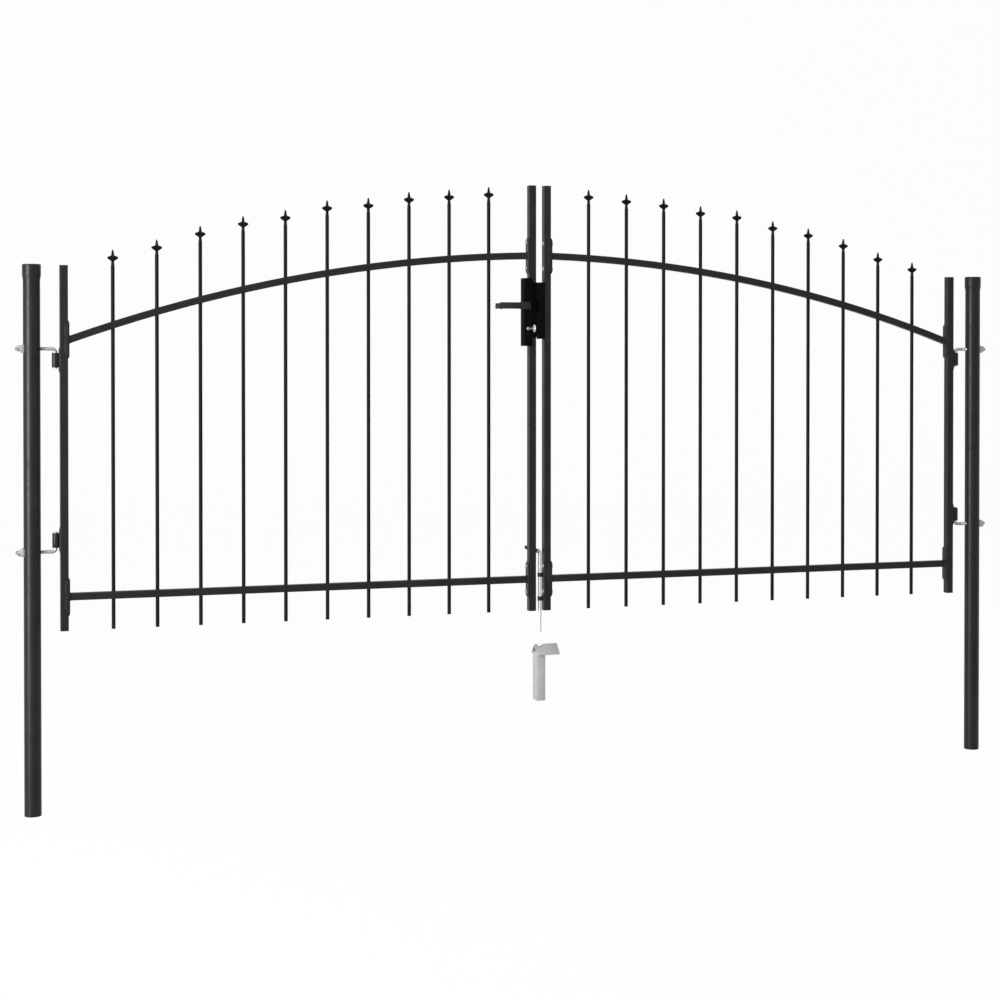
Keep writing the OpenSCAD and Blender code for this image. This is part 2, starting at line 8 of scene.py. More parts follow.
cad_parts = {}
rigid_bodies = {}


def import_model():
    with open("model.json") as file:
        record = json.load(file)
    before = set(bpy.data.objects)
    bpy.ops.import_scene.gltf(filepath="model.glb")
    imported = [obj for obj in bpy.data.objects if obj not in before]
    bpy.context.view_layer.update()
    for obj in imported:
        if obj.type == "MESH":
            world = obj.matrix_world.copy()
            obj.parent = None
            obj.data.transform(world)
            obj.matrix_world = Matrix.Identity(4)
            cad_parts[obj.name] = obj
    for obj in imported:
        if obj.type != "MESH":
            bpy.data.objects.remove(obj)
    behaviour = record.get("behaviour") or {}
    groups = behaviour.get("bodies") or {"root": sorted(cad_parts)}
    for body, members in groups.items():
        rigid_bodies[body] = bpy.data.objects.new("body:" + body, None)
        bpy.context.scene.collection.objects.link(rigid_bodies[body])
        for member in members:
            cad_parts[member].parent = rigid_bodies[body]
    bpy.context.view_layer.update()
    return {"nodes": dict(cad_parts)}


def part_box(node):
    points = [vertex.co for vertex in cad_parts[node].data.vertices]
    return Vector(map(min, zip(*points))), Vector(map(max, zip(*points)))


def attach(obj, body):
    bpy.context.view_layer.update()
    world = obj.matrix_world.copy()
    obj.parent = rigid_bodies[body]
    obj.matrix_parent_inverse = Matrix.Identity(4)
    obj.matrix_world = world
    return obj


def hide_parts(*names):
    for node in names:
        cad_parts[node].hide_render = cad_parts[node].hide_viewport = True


for left_over in list(bpy.data.objects):
    bpy.data.objects.remove(left_over)
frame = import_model()
nodes = frame["nodes"]
scene = bpy.context.scene
scene.view_settings.view_transform = "Standard"


# Posts: two round steel tubes with a closed foot, each in two sections that plug together,
# under a pressed cap. Powder-coated black, with the fine orange peel of a baked coat.
def new_material(name):
    material = bpy.data.materials.new(name)
    material.use_nodes = True
    shader = material.node_tree.nodes["Principled BSDF"]
    return material, material.node_tree, shader


def object_noise(tree, scale, detail):
    place = tree.nodes.new("ShaderNodeTexCoord")
    noise = tree.nodes.new("ShaderNodeTexNoise")
    noise.inputs["Scale"].default_value = scale
    noise.inputs["Detail"].default_value = detail
    tree.links.new(place.outputs["Object"], noise.inputs["Vector"])
    return noise


def ramp_between(tree, value, low, high, dark, light):
    ramp = tree.nodes.new("ShaderNodeValToRGB")
    ramp.color_ramp.elements[0].position = low
    ramp.color_ramp.elements[1].position = high
    ramp.color_ramp.elements[0].color = (*dark, 1)
    ramp.color_ramp.elements[1].color = (*light, 1)
    tree.links.new(value, ramp.inputs["Fac"])
    return ramp.outputs["Color"]


def rescale(tree, value, low, high):
    span = tree.nodes.new("ShaderNodeMapRange")
    span.inputs["From Min"].default_value = 0.3
    span.inputs["From Max"].default_value = 0.7
    span.inputs["To Min"].default_value = low
    span.inputs["To Max"].default_value = high
    tree.links.new(value, span.inputs["Value"])
    return span.outputs["Result"]


def bump_from(tree, value, strength, depth, shader):
    bump = tree.nodes.new("ShaderNodeBump")
    bump.inputs["Strength"].default_value = strength
    bump.inputs["Distance"].default_value = depth
    tree.links.new(value, bump.inputs["Height"])
    tree.links.new(bump.outputs["Normal"], shader.inputs["Normal"])


def coated_steel(name, dark, light, rough, gloss, peel_scale, peel):
    material, tree, shader = new_material(name)
    cloud = object_noise(tree, scale=14, detail=3)
    colour = ramp_between(tree, cloud.outputs["Fac"], low=0.35, high=0.7, dark=dark, light=light)
    tree.links.new(colour, shader.inputs["Base Color"])
    smudge = object_noise(tree, scale=55, detail=4)
    roughness = rescale(tree, smudge.outputs["Fac"], rough[0], rough[1])
    tree.links.new(roughness, shader.inputs["Roughness"])
    shader.inputs["Specular IOR Level"].default_value = gloss
    grain = object_noise(tree, scale=peel_scale, detail=2)
    bump_from(tree, grain.outputs["Fac"], strength=peel, depth=0.0004, shader=shader)
    return material


def finish_node(name, material):
    slots = nodes[name].data.materials
    for index in range(len(slots)):
        slots[index] = material


powder_coat = coated_steel(
    "black_powder_coat", dark=(0.0042, 0.0042, 0.0044), light=(0.0074, 0.0074, 0.0077),
    rough=(0.36, 0.47), gloss=0.22, peel_scale=620, peel=0.09
)
for side in ("left", "right"):
    finish_node(f"{side}_post_lower", powder_coat)
    finish_node(f"{side}_post_upper", powder_coat)


# Post caps: drawn from thin sheet, pressed over the top of each post.
# The rim is rolled, the lower edge tapers until it lies on the tube.
def mesh_from(name, builder):
    bmesh.ops.recalc_face_normals(builder, faces=builder.faces)
    mesh = bpy.data.meshes.new(name)
    builder.to_mesh(mesh)
    builder.free()
    return mesh


def settle(name, mesh, material, body):
    mesh.materials.clear()
    mesh.materials.append(material)
    piece = bpy.data.objects.new(name, mesh)
    scene.collection.objects.link(piece)
    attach(piece, body)
    return piece


def new_piece(name, builder, material, body):
    return settle(name, mesh_from(name, builder), material, body)


def smooth_by_angle(mesh, degrees):
    mesh.shade_smooth()
    mesh.set_sharp_from_angle(angle=math.radians(degrees))


def turned(profile, segments, builder=None):
    builder = builder or bmesh.new()
    rings = []
    for radius, height in profile:
        if radius == 0:
            rings.append([builder.verts.new((0, 0, height))])
            continue
        ring = []
        for step in range(segments):
            angle = 2 * math.pi * step / segments
            ring.append(builder.verts.new((radius * math.cos(angle), radius * math.sin(angle), height)))
        rings.append(ring)
    for low, high in zip(rings, rings[1:]):
        for step in range(segments):
            after = (step + 1) % segments
            corners = [
                low[step % len(low)], low[after % len(low)],
                high[after % len(high)], high[step % len(high)]
            ]
            builder.faces.new(list(dict.fromkeys(corners)))
    return builder


cap_wall = 0.002
cap_top = 0.003
for side in ("left", "right"):
    low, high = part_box(f"{side}_post_cap")
    outer = (high.x - low.x) / 2
    inner = outer - cap_wall
    cap = turned(
        [
            (0, high.z - cap_top), (inner, high.z - cap_top), (inner, low.z), (inner + 0.0004, low.z),
            (inner + 0.0006, low.z + 0.003), (outer - 0.0002, low.z + 0.010), (outer, low.z + 0.0115),
            (outer, high.z - 0.0030), (outer - 0.0003, high.z - 0.0018),
            (outer - 0.0010, high.z - 0.0009), (outer - 0.0022, high.z - 0.0004),
            (outer * 0.5, high.z - 0.0001), (0, high.z)
        ],
        72
    )
    bmesh.ops.translate(cap, verts=cap.verts, vec=((low.x + high.x) / 2, 0, 0))
    piece = new_piece(f"{side}_rolled_post_cap", cap, powder_coat, "root")
    smooth_by_angle(piece.data, 40)
    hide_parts(f"{side}_post_cap")


# Joint rings: the thin open line where the upper post section meets the lower one.
# A narrow near-black band, a hair proud of the tube, is painted shade for that open line.
# near-black colour: painted shade of the open joint line between the post sections
joint_shadow = coated_steel(
    "post_joint_painted_shade", dark=(0.002, 0.002, 0.002), light=(0.005, 0.005, 0.005),
    rough=(0.6, 0.75), gloss=0.2, peel_scale=620, peel=0.3
)
ring_sink = 0.0004
ring_proud = 0.00015
root_half = 0.0010
face_half = 0.0006
for side in ("left", "right"):
    low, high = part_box(f"{side}_post_lower")
    post_x = (low.x + high.x) / 2
    radius = (high.x - low.x) / 2
    ring = turned(
        [
            (radius - ring_sink, high.z - root_half), (radius + ring_proud, high.z - face_half),
            (radius + ring_proud, high.z + face_half), (radius - ring_sink, high.z + root_half),
            (radius - ring_sink, high.z - root_half)
        ],
        64
    )
    bmesh.ops.remove_doubles(ring, verts=ring.verts, dist=1e-7)
    bmesh.ops.translate(ring, verts=ring.verts, vec=(post_x, 0, 0))
    new_piece(f"{side}_post_joint_ring", ring, joint_shadow, "root")


# Hinge bolts: bent zinc-plated bars with a rolled thread, through the post and held by a nut.
# The thread runs from the outer end to a little past the post, and the bent end is the pin.
def zinc_steel(name, dark, light, rough, cells, metal):
    material, tree, shader = new_material(name)
    place = tree.nodes.new("ShaderNodeTexCoord")
    crystal = tree.nodes.new("ShaderNodeTexVoronoi")
    crystal.inputs["Scale"].default_value = cells
    tree.links.new(place.outputs["Object"], crystal.inputs["Vector"])
    grey = tree.nodes.new("ShaderNodeSeparateColor")
    tree.links.new(crystal.outputs["Color"], grey.inputs["Color"])
    colour = ramp_between(tree, grey.outputs["Red"], low=0.0, high=1.0, dark=dark, light=light)
    tree.links.new(colour, shader.inputs["Base Color"])
    cloud = object_noise(tree, scale=120, detail=4)
    roughness = rescale(tree, cloud.outputs["Fac"], rough[0], rough[1])
    tree.links.new(roughness, shader.inputs["Roughness"])
    shader.inputs["Metallic"].default_value = metal
    bump_from(tree, cloud.outputs["Fac"], strength=0.12, depth=0.0003, shader=shader)
    return material


def geometry_tree(name, inputs):
    tree = bpy.data.node_groups.new(name, "GeometryNodeTree")
    tree.interface.new_socket("Geometry", in_out="INPUT", socket_type="NodeSocketGeometry")
    for label, kind in inputs:
        tree.interface.new_socket(label, in_out="INPUT", socket_type=kind)
    tree.interface.new_socket("Geometry", in_out="OUTPUT", socket_type="NodeSocketGeometry")
    return tree, tree.nodes.new("NodeGroupInput"), tree.nodes.new("NodeGroupOutput")


def calculate(tree, operation, first, second):
    math_node = tree.nodes.new("ShaderNodeMath")
    math_node.operation = operation
    for socket, value in zip(math_node.inputs, (first, second)):
        if isinstance(value, (int, float)):
            socket.default_value = value
        else:
            tree.links.new(value, socket)
    return math_node.outputs[0]


def close_tree(tree, geometry, given, out):
    real = tree.nodes.new("GeometryNodeRealizeInstances")
    paint = tree.nodes.new("GeometryNodeSetMaterial")
    tree.links.new(geometry, real.inputs["Geometry"])
    tree.links.new(real.outputs["Geometry"], paint.inputs["Geometry"])
    tree.links.new(given.outputs["Material"], paint.inputs["Material"])
    tree.links.new(paint.outputs["Geometry"], out.inputs["Geometry"])


def remember(tree, geometry, value, label):
    keep = tree.nodes.new("GeometryNodeCaptureAttribute")
    keep.capture_items.new("FLOAT", label)
    tree.links.new(geometry, keep.inputs["Geometry"])
    tree.links.new(value, keep.inputs[label])
    return keep.outputs["Geometry"], keep.outputs[label]


def swept_round_bar(tree, given, step, sides):
    path = tree.nodes.new("GeometryNodeMeshToCurve")
    tree.links.new(given.outputs["Geometry"], path.inputs["Mesh"])
    even = tree.nodes.new("GeometryNodeResampleCurve")
    even.mode = "LENGTH"
    tree.links.new(path.outputs["Curve"], even.inputs["Curve"])
    tree.links.new(given.outputs[step], even.inputs["Length"])
    along = tree.nodes.new("GeometryNodeSplineParameter")
    line, distance = remember(tree, even.outputs["Curve"], along.outputs["Length"], "distance")
    circle = tree.nodes.new("GeometryNodeCurvePrimitiveCircle")
    circle.inputs["Resolution"].default_value = sides
    tree.links.new(given.outputs["Radius"], circle.inputs["Radius"])
    around = tree.nodes.new("GeometryNodeSplineParameter")
    section, turn = remember(tree, circle.outputs["Curve"], around.outputs["Factor"], "turn")
    sweep = tree.nodes.new("GeometryNodeCurveToMesh")
    sweep.inputs["Fill Caps"].default_value = True
    tree.links.new(line, sweep.inputs["Curve"])
    tree.links.new(section, sweep.inputs["Profile Curve"])
    return sweep.outputs["Mesh"], distance, turn


def pushed_out(tree, mesh, amount):
    normal = tree.nodes.new("GeometryNodeInputNormal")
    scaled = tree.nodes.new("ShaderNodeVectorMath")
    scaled.operation = "SCALE"
    tree.links.new(normal.outputs["Normal"], scaled.inputs[0])
    tree.links.new(amount, scaled.inputs["Scale"])
    move = tree.nodes.new("GeometryNodeSetPosition")
    tree.links.new(mesh, move.inputs["Geometry"])
    tree.links.new(scaled.outputs["Vector"], move.inputs["Offset"])
    return move.outputs["Geometry"]


def evaluated_mesh(holder):
    depsgraph = bpy.context.evaluated_depsgraph_get()
    return bpy.data.meshes.new_from_object(holder.evaluated_get(depsgraph))


def grown(tree, mesh, values):
    holder = bpy.data.objects.new("holder", mesh)
    scene.collection.objects.link(holder)
    modifier = holder.modifiers.new("grow", "NODES")
    modifier.node_group = tree
    for item in tree.interface.items_tree:
        if item.in_out == "INPUT" and item.name in values:
            modifier[item.identifier] = values[item.name]
    result = evaluated_mesh(holder)
    holder.modifiers.remove(modifier)
    bpy.data.objects.remove(holder)
    return result


def path_mesh(name, paths, loops=()):
    points = []
    edges = []
    for path in [*paths, *loops]:
        start = len(points)
        points.extend(path)
        edges.extend((start + index, start + index + 1) for index in range(len(path) - 1))
        if path in loops:
            edges.append((len(points) - 1, start))
    mesh = bpy.data.meshes.new(name)
    mesh.from_pydata(points, edges, [])
    return mesh


thread_tree, given, out = geometry_tree(
    "threaded_bar",
    [
        ("Radius", "NodeSocketFloat"), ("Step", "NodeSocketFloat"), ("Pitch", "NodeSocketFloat"),
        ("Depth", "NodeSocketFloat"), ("Thread length", "NodeSocketFloat"),
        ("Material", "NodeSocketMaterial")
    ]
)
bar, distance, turn = swept_round_bar(thread_tree, given, "Step", 20)
turns_along = calculate(thread_tree, "DIVIDE", distance, given.outputs["Pitch"])
phase = calculate(thread_tree, "ADD", turns_along, turn)
groove = calculate(thread_tree, "PINGPONG", phase, 0.5)
on_thread = calculate(thread_tree, "LESS_THAN", distance, given.outputs["Thread length"])
groove = calculate(thread_tree, "MULTIPLY", groove, on_thread)
cut = calculate(thread_tree, "MULTIPLY", groove, -2.0)
bar = pushed_out(thread_tree, bar, calculate(thread_tree, "MULTIPLY", cut, given.outputs["Depth"]))
close_tree(thread_tree, bar, given, out)

zinc_plate = zinc_steel(
    "zinc_plated_steel", dark=(0.28, 0.284, 0.288), light=(0.38, 0.384, 0.388),
    rough=(0.38, 0.5), cells=900, metal=0.9
)
bolt_radius = 0.005
bend_radius = 0.010
bend_steps = 12
pin_length = 0.044
for side, facing in (("left", 1), ("right", -1)):
    low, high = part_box(f"{side}_hinge_bolts")
    bolt_start = low.x if facing > 0 else high.x
    pin_x = (high.x if facing > 0 else low.x) - facing * bolt_radius
    paths = []
    for bolt_z, down in ((high.z - bolt_radius, -1), (low.z + bolt_radius, 1)):
        path = [(bolt_start, 0, bolt_z), (pin_x - facing * bend_radius, 0, bolt_z)]
        for step in range(1, bend_steps + 1):
            angle = math.pi / 2 * step / bend_steps
            path.append(
                (
                    pin_x - facing * bend_radius * (1 - math.sin(angle)), 0,
                    bolt_z + down * bend_radius * (1 - math.cos(angle))
                )
            )
        path.append((pin_x, 0, bolt_z + down * (bend_radius + pin_length)))
        paths.append(path)
    bolts = grown(
        thread_tree, path_mesh(f"{side}_bolt_paths", paths),
        {
            "Radius": bolt_radius, "Step": 0.000375, "Pitch": 0.0015, "Depth": 0.00085,
            "Thread length": 0.083, "Material": zinc_plate
        }
    )
    smooth_by_angle(bolts, 40)
    piece = settle(f"{side}_threaded_hinge_bolts", bolts, zinc_plate, "root")
    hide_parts(f"{side}_hinge_bolts")


# Hinge nuts and saddles: a pressed saddle hugs the outer side of the post under each bolt's hex nut.
# Zinc-plated steel, the nuts with chamfered corners.
def hex_nut(flats, thick, hole, segments):
    builder = bmesh.new()
    half = flats / 2
    face_radius = half * 0.95
    chamfer_slope = 0.55
    rings = []
    for level in range(6):
        ring = []
        for step in range(segments):
            angle = 2 * math.pi * step / segments
            corner = half / math.cos((angle % (math.pi / 3)) - math.pi / 6)
            fall = (corner - face_radius) * chamfer_slope
            radius, height = [
                (hole / 2, 0.0), (face_radius, 0.0), (corner, fall),
                (corner, thick - fall), (face_radius, thick), (hole / 2, thick)
            ][level]
            ring.append(builder.verts.new((height, radius * math.cos(angle), radius * math.sin(angle))))
        rings.append(ring)
    for low_ring, high_ring in zip(rings, rings[1:] + rings[:1]):
        for step in range(segments):
            after = (step + 1) % segments
            builder.faces.new((low_ring[step], low_ring[after], high_ring[after], high_ring[step]))
    return builder


def pattern(name, builder):
    mesh = mesh_from(name, builder)
    smooth_by_angle(mesh, 35)
    return bpy.data.objects.new(name, mesh)


row_tree, given, out = geometry_tree(
    "row_of_pieces", [("Piece", "NodeSocketObject"), ("Material", "NodeSocketMaterial")]
)
shape = row_tree.nodes.new("GeometryNodeObjectInfo")
row_tree.links.new(given.outputs["Piece"], shape.inputs["Object"])
copies = row_tree.nodes.new("GeometryNodeInstanceOnPoints")
row_tree.links.new(given.outputs["Geometry"], copies.inputs["Points"])
row_tree.links.new(shape.outputs["Geometry"], copies.inputs["Instance"])
tilt = row_tree.nodes.new("GeometryNodeInputNamedAttribute")
tilt.data_type = "FLOAT_VECTOR"
tilt.inputs["Name"].default_value = "tilt"
row_tree.links.new(tilt.outputs["Attribute"], copies.inputs["Rotation"])
close_tree(row_tree, copies.outputs["Instances"], given, out)


def row_of(piece, places, material):
    points = bpy.data.meshes.new("places")
    points.from_pydata([place for place, turns in places], [], [])
    attribute = points.attributes.new("tilt", "FLOAT_VECTOR", "POINT")
    for index, (place, turns) in enumerate(places):
        attribute.data[index].vector = turns
    return grown(row_tree, points, {"Piece": piece, "Material": material})


def eased(node, name, width, steps, material, body, reshape=None):
    builder = bmesh.new()
    builder.from_mesh(nodes[node].data)
    bmesh.ops.remove_doubles(builder, verts=builder.verts, dist=2e-6)
    bmesh.ops.dissolve_limit(
        builder, angle_limit=math.radians(0.5), verts=builder.verts, edges=builder.edges
    )
    if reshape:
        for vertex in builder.verts:
            vertex.co = reshape(vertex.co)
    mesh = bpy.data.meshes.new(name)
    builder.to_mesh(mesh)
    builder.free()
    holder = bpy.data.objects.new("holder", mesh)
    scene.collection.objects.link(holder)
    bevel = holder.modifiers.new("edges", "BEVEL")
    bevel.width = width
    bevel.segments = steps
    bevel.limit_method = "ANGLE"
    bevel.angle_limit = math.radians(40)
    bevel.use_clamp_overlap = False
    result = evaluated_mesh(holder)
    bpy.data.objects.remove(holder)
    smooth_by_angle(result, 35)
    piece = settle(name, result, material, body)
    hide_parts(node)
    return piece


eased("hinge_saddles", "pressed_hinge_saddles", 0.0008, 2, zinc_plate, "root")
nut_flats = 0.017
nut_thick = 0.008
nut_hole = 0.0101
nuts_low, nuts_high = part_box("hinge_nuts")
nut_heights = [nuts_low.z + nut_flats / 2, nuts_high.z - nut_flats / 2]
places = []
for height in nut_heights:
    places.append(((nuts_low.x, 0, height), (0, 0, 0)))
    places.append(((nuts_high.x - nut_thick, 0, height), (0, 0, 0)))
nut_pattern = pattern("hinge_nut_pattern", hex_nut(nut_flats, nut_thick, nut_hole, 60))
nuts = row_of(nut_pattern, places, zinc_plate)
piece = settle("chamfered_hinge_nuts", nuts, zinc_plate, "root")
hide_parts("hinge_nuts")


# Leaf frames: square tube stiles and rails, the top rail rolled to a flat arch.
# Welded and coated with the same black powder as the posts, which lies darker on the thin pickets.
picket_coat = coated_steel(
    "black_picket_coat", dark=(0.0012, 0.0012, 0.0013), light=(0.0024, 0.0024, 0.0025),
    rough=(0.42, 0.54), gloss=0.1, peel_scale=620, peel=0.09
)
for side in ("left", "right"):
    for part in ("hinge_stile", "lock_stile", "top_rail", "bottom_rail"):
        finish_node(f"{side}_{part}", powder_coat)
    finish_node(f"{side}_pickets", picket_coat)


# Rail brackets and hinge barrels: pressed saddles that carry the rail ends on the stiles, and
# turned barrels on base plates that take the hinge pins. Their sheared edges are eased by the coat.
def loose_parts(node):
    builder = bmesh.new()
    builder.from_mesh(nodes[node].data)
    bmesh.ops.remove_doubles(builder, verts=builder.verts, dist=1e-6)
    parts = []
    left = set(builder.verts)
    while left:
        found = [left.pop()]
        for vertex in found:
            for edge in vertex.link_edges:
                other = edge.other_vert(vertex)
                if other in left:
                    left.remove(other)
                    found.append(other)
        lows = Vector([min(v.co[axis] for v in found) for axis in range(3)])
        highs = Vector([max(v.co[axis] for v in found) for axis in range(3)])
        parts.append((lows, highs))
    builder.free()
    return sorted(parts, key=lambda part: (round(part[0].x, 4), part[0].z))


def squarer_ends(parts):
    centres = [(low + high) / 2 for low, high in parts]
    tapered_half = 0.043
    square_half = 0.046
    end_reach = 0.0005

    def reshape(point):
        centre = min(centres, key=lambda middle: (middle - point).length)
        offset = point.z - centre.z
        if abs(abs(offset) - tapered_half) > end_reach:
            return point
        return Vector((point.x, point.y, centre.z + math.copysign(square_half, offset)))

    return reshape


for side in ("left", "right"):
    reshape = squarer_ends(loose_parts(f"{side}_rail_brackets"))
    eased(
        f"{side}_rail_brackets", f"{side}_pressed_rail_brackets", 0.0007, 2,
        powder_coat, f"{side}_leaf", reshape
    )
    eased(
        f"{side}_hinge_barrels", f"{side}_turned_hinge_barrels", 0.0008, 2,
        powder_coat, f"{side}_leaf"
    )


# Weld beads: rippled fillets round the rail ends, beside the hinge plates and barrels, and short
# stitches along the flanges of the brackets beside the posts. Coated with the leaf.
bead_tree, given, out = geometry_tree(
    "weld_bead",
    [
        ("Radius", "NodeSocketFloat"), ("Step", "NodeSocketFloat"), ("Pitch", "NodeSocketFloat"),
        ("Ripple", "NodeSocketFloat"), ("Material", "NodeSocketMaterial")
    ]
)
bead, distance = swept_round_bar(bead_tree, given, "Step", 10)[:2]
ripples_along = calculate(bead_tree, "DIVIDE", distance, given.outputs["Pitch"])
wave = calculate(bead_tree, "PINGPONG", ripples_along, 0.5)
bead = pushed_out(bead_tree, bead, calculate(bead_tree, "MULTIPLY", wave, given.outputs["Ripple"]))
close_tree(bead_tree, bead, given, out)


def beads(name, paths, loops, radius, material, body):
    mesh = grown(
        bead_tree, path_mesh(f"{name}_paths", paths, loops),
        {"Radius": radius, "Step": 0.0006, "Pitch": 0.0024, "Ripple": 0.0007, "Material": material}
    )
    smooth_by_angle(mesh, 60)
    return settle(name, mesh, material, body)


def loop_across(x, half_width, low_z, high_z, corner):
    points = []
    corners = [
        (half_width - corner, high_z - corner), (corner - half_width, high_z - corner),
        (corner - half_width, low_z + corner), (half_width - corner, low_z + corner)
    ]
    for quarter, (y, z) in enumerate(corners):
        for step in range(4):
            angle = math.pi / 2 * (quarter + step / 3)
            points.append((x, y + corner * math.cos(angle), z + corner * math.sin(angle)))
    return points


def upright(x, y, low_z, high_z):
    return [(x, y, low_z), (x, y, high_z)]


stile_side = 0.022
rail_weld_half = 0.0101
rail_weld_corner = 0.002
plate_height = 0.074
plate_weld = {"out": 0.0005, "aside": 0.0101, "half": 0.025}
barrel_weld = {"out": 0.0031, "aside": 0.0046, "half": 0.019}
flange_inset = 0.0092
flange_aside = 0.0113
stitch_offset = 0.024
stitch_half = 0.009
leaf_bead_radius = 0.0011
beside_post = 0.2
for side, facing in (("left", 1), ("right", -1)):
    stile_low, stile_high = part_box(f"{side}_hinge_stile")
    plate_x = stile_low.x if facing > 0 else stile_high.x
    loops = []
    for rail in ("top_rail", "bottom_rail"):
        rail_verts = [v.co for v in nodes[f"{side}_{rail}"].data.vertices]
        for end_x, inward in (
            (min(v.x for v in rail_verts), 1), (max(v.x for v in rail_verts), -1)
        ):
            heights = [v.z for v in rail_verts if abs(v.x - end_x) < 0.0002]
            low_z = min(heights) - 0.0001
            high_z = max(heights) + 0.0001
            weld_x = end_x + inward * 0.0003
            loops.append(loop_across(weld_x, rail_weld_half, low_z, high_z, rail_weld_corner))
    paths = []
    barrels_low, barrels_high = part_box(f"{side}_hinge_barrels")
    for middle_z in (barrels_low.z + plate_height / 2, barrels_high.z - plate_height / 2):
        for y_sign in (-1, 1):
            for weld in (plate_weld, barrel_weld):
                weld_x = plate_x - facing * weld["out"]
                weld_y = y_sign * weld["aside"]
                paths.append(upright(weld_x, weld_y, middle_z - weld["half"], middle_z + weld["half"]))
    flange_x = plate_x + facing * (stile_side - flange_inset)
    bracket_parts = sorted(
        (part for part in loose_parts(f"{side}_rail_brackets") if abs(part[0].x - plate_x) < beside_post),
        key=lambda part: part[0].z
    )
    for low, high in bracket_parts:
        middle_z = (low.z + high.z) / 2
        for y_sign in (-1, 1):
            for z_sign in (-1, 1):
                stitch_z = middle_z + z_sign * stitch_offset
                stitch_y = y_sign * flange_aside
                paths.append(upright(flange_x, stitch_y, stitch_z - stitch_half, stitch_z + stitch_half))
    beads(
        f"{side}_leaf_welds", paths, loops, leaf_bead_radius, powder_coat,
        f"{side}_leaf"
    )


# Spear tips: cast steel points with four short arms, pressed onto the pickets and coated with them.
# Each has a slim point, a waist and blunt diamond arms.
def spear_pattern():
    builder = turned(
        [
            (0, 0), (0.00525, 0), (0.00525, 0.002), (0.0048, 0.0045), (0.0043, 0.008), (0.0042, 0.012),
            (0.0042, 0.0295), (0.0041, 0.0325), (0.0036, 0.0365), (0.0028, 0.0410), (0.0020, 0.0446),
            (0.0012, 0.0461), (0, 0.0467)
        ],
        24
    )
    outline = [
        (-0.0145, 0.0225), (-0.0134, 0.0213), (-0.0042, 0.0150), (0.0042, 0.0150), (0.0134, 0.0213),
        (0.0145, 0.0225), (0.0145, 0.0257), (0.0134, 0.0268), (0.0042, 0.0305), (-0.0042, 0.0305),
        (-0.0134, 0.0268), (-0.0145, 0.0257)
    ]
    arm_half = 0.0035
    arm = bmesh.new()
    front = [arm.verts.new((x, -arm_half, z)) for x, z in outline]
    back = [arm.verts.new((x, arm_half, z)) for x, z in outline]
    arm.faces.new(front)
    arm.faces.new(list(reversed(back)))
    for index in range(len(outline)):
        after = (index + 1) % len(outline)
        arm.faces.new((front[after], front[index], back[index], back[after]))
    edges = [edge for edge in arm.edges if abs(edge.verts[0].co.y - edge.verts[1].co.y) < 1e-6]
    bmesh.ops.bevel(arm, geom=edges, offset=0.0012, segments=2, affect="EDGES", profile=0.6)
    mesh = bpy.data.meshes.new("spear_arm")
    arm.to_mesh(mesh)
    arm.free()
    builder.from_mesh(mesh)
    mesh.transform(Matrix.Rotation(math.pi / 2, 4, "Z"))
    builder.from_mesh(mesh)
    bpy.data.meshes.remove(mesh)
    return pattern("spear_pattern", builder)


spear = spear_pattern()
picket_tops = {}
for side in ("left", "right"):
    pickets = loose_parts(f"{side}_pickets")
    picket_tops[side] = [((low.x + high.x) / 2, 0, high.z) for low, high in pickets]
    tips = row_of(spear, [(top, (0, 0, 0)) for top in picket_tops[side]], picket_coat)
    piece = settle(f"{side}_cast_spear_tips", tips, picket_coat, f"{side}_leaf")
    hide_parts(f"{side}_spear_tips")


# Picket welds: a short fillet weld rings each picket where it leaves a rail.
# It is left as welded and coated black with the leaf.
def collar_pattern(inner, flare, tall):
    builder = turned(
        [
            (inner, 0), (inner + flare, 0), (inner + flare * 0.35, tall * 0.35), (inner, tall),
            (inner, 0)
        ],
        16
    )
    bmesh.ops.remove_doubles(builder, verts=builder.verts, dist=1e-7)
    return pattern("picket_weld_pattern", builder)


collar = collar_pattern(inner=0.0051, flare=0.0017, tall=0.0022)
weld_sink = 0.0008
slope_reach = 0.02
picket_reach = 0.0055
for side in ("left", "right"):
    rail_low, rail_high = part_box(f"{side}_bottom_rail")
    arch_verts = [v.co for v in nodes[f"{side}_top_rail"].data.vertices]
    places = []
    for x in [point[0] for point in picket_tops[side]]:
        places.append(((x, 0, rail_high.z), (0, 0, 0)))
        places.append(((x, 0, rail_low.z), (math.pi, 0, 0)))
        near = [v for v in arch_verts if abs(v.x - x) < slope_reach]
        middle = [v for v in near if abs(v.x - x) < picket_reach]
        top = max(v.z for v in middle)
        bottom = min(v.z for v in middle)
        left_end = min(near, key=lambda v: (round(v.x, 4), -v.z))
        right_end = max(near, key=lambda v: (round(v.x, 4), v.z))
        slope = math.atan2(right_end.z - left_end.z, right_end.x - left_end.x)
        places.append(((x, 0, top - weld_sink), (0, -slope, 0)))
        places.append(((x, 0, bottom + weld_sink), (math.pi, -slope, 0)))
    welds = row_of(collar, places, powder_coat)
    settle(f"{side}_picket_welds", welds, powder_coat, f"{side}_leaf")


